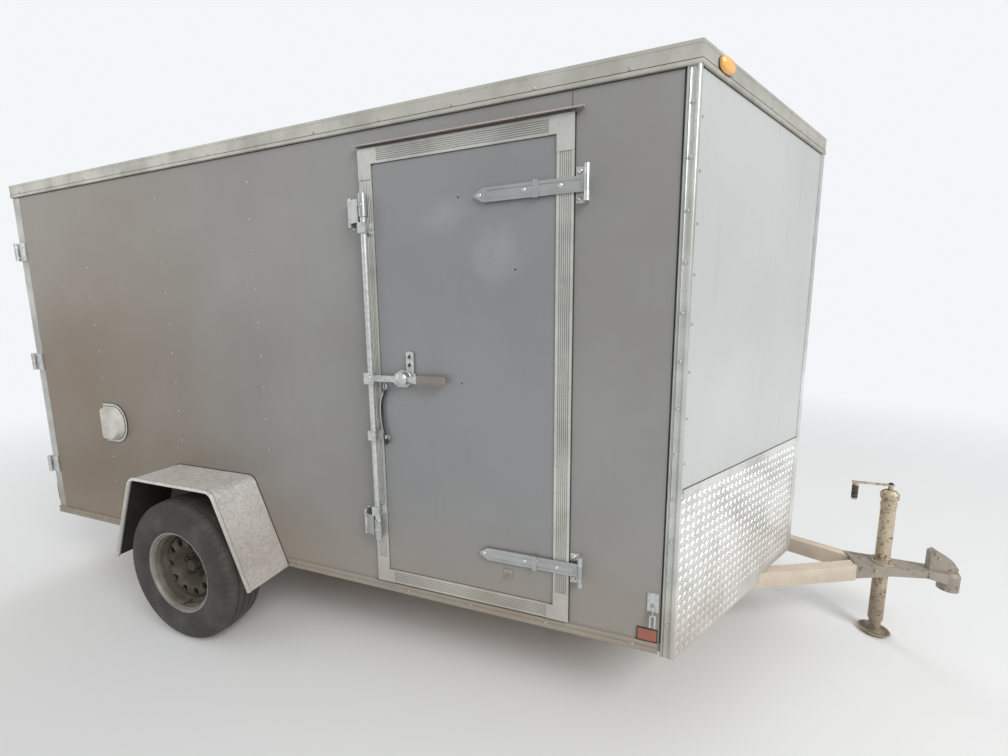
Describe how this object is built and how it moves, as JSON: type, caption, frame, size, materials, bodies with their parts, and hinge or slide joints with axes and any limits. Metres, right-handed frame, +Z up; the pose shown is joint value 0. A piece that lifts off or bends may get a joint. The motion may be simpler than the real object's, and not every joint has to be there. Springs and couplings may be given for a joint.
{
  "type": "enclosed single-axle cargo trailer with a V nose",
  "caption": "Closed utility trailer with a V-shaped nose, tread-plate stone guard, side door with strap hinges and lock bar, double rear doors, A-frame tongue and jack.",
  "frame": {"origin": "on the ground, under the middle of the whole trailer", "axes": "+X forwards to the hitch, +Y to the road side (left), +Z up"},
  "size_m": [5.016, 2.324, 2.366],
  "materials": {
    "wall_skin": "satin pewter grey paint, dusty",
    "nose_skin": "satin silver paint",
    "tread_plate": "bright tread plate",
    "trim": "extruded mill finish, weathered",
    "roof_skin": "mill finish sheet",
    "frame_paint": "chassis paint with rust and dust",
    "axle_paint": "black chassis paint, dusty",
    "galvanised": "galvanised, dull",
    "zinc": "zinc plated, some rust",
    "fender_sheet": "dull grey sheet, dirty",
    "tyre": "dusty tread rubber",
    "wheel_paint": "off-white wheel paint, dirty",
    "hub_steel": "rusty casting",
    "floor_wood": "plywood",
    "vent_plastic": "white moulding",
    "amber_lens": "amber lens",
    "reflector": "orange-red reflector",
    "red_lens": "red lens",
    "rusty_steel": "rusted steel"
  },
  "bodies": {
    "trailer": {"side_rails": "frame_paint", "crossmembers": "frame_paint", "nose_rail": "frame_paint", "floor_deck": "floor_wood", "road_wall": "wall_skin", "curb_wall_rear": "wall_skin", "curb_wall_front": "wall_skin", "curb_wall_header": "wall_skin", "door_threshold": "trim", "nose_wall_curb": "nose_skin", "nose_wall_road": "nose_skin", "nose_post": "nose_skin", "roof_panel": "roof_skin", "roof_trim": "trim", "rail_trims": "trim", "corner_trims": "trim", "nose_trim": "trim", "stone_guard_curb": "tread_plate", "stone_guard_road": "tread_plate", "tongue_beam_curb": "frame_paint", "tongue_beam_road": "frame_paint", "coupler": "zinc", "coupler_latch": "zinc", "jack_tube": "zinc", "jack_leg": "zinc", "jack_crank": "zinc", "axle_beam": "axle_paint", "leaf_springs": "axle_paint", "spring_mounts": "axle_paint", "fender_curb": "fender_sheet", "fender_road": "fender_sheet", "hinge_leaves": "galvanised", "lock_keepers": "galvanised", "drip_cap": "rusty_steel", "hold_back_hook": "galvanised", "side_vents": "vent_plastic", "marker_lamps": "amber_lens", "side_reflectors": "reflector", "rear_frame": "trim", "rear_hinge_leaves": "galvanised", "rear_keepers": "galvanised", "tail_lamps": "red_lens"},
    "wheel_curb": {"tyre_curb": "tyre", "rim_curb": "wheel_paint", "hub_curb": "hub_steel"},
    "wheel_road": {"tyre_road": "tyre", "rim_road": "wheel_paint", "hub_road": "hub_steel"},
    "side_door": {"side_door_panel": "wall_skin", "side_door_frame": "trim", "strap_hinges": "galvanised", "lock_bar": "galvanised", "lock_handle": "rusty_steel"},
    "rear_door_curb": {"rear_door_curb": "wall_skin", "rear_straps_curb": "galvanised", "rear_bar_curb": "galvanised"},
    "rear_door_road": {"rear_door_road": "wall_skin", "rear_straps_road": "galvanised", "rear_bar_road": "galvanised"}
  },
  "joints": [
    {"name": "wheel_curb_spin", "type": "hinge", "parent": "trailer", "child": "wheel_curb", "pos_m": [-1.04, -1.058, 0.356], "axis": [0, 1, 0], "continuous": true},
    {"name": "wheel_road_spin", "type": "hinge", "parent": "trailer", "child": "wheel_road", "pos_m": [-1.04, 1.058, 0.356], "axis": [0, 1, 0], "continuous": true},
    {"name": "side_door_swing", "type": "hinge", "parent": "trailer", "child": "side_door", "pos_m": [0.877, -0.964, 1.322], "axis": [0, 0, 1], "range_deg": [0, 180]},
    {"name": "rear_door_curb_swing", "type": "hinge", "parent": "trailer", "child": "rear_door_curb", "pos_m": [-2.47, -0.952, 1.322], "axis": [0, 0, 1], "range_deg": [0, 265]},
    {"name": "rear_door_road_swing", "type": "hinge", "parent": "trailer", "child": "rear_door_road", "pos_m": [-2.47, 0.952, 1.322], "axis": [0, 0, -1], "range_deg": [0, 265]}
  ]
}
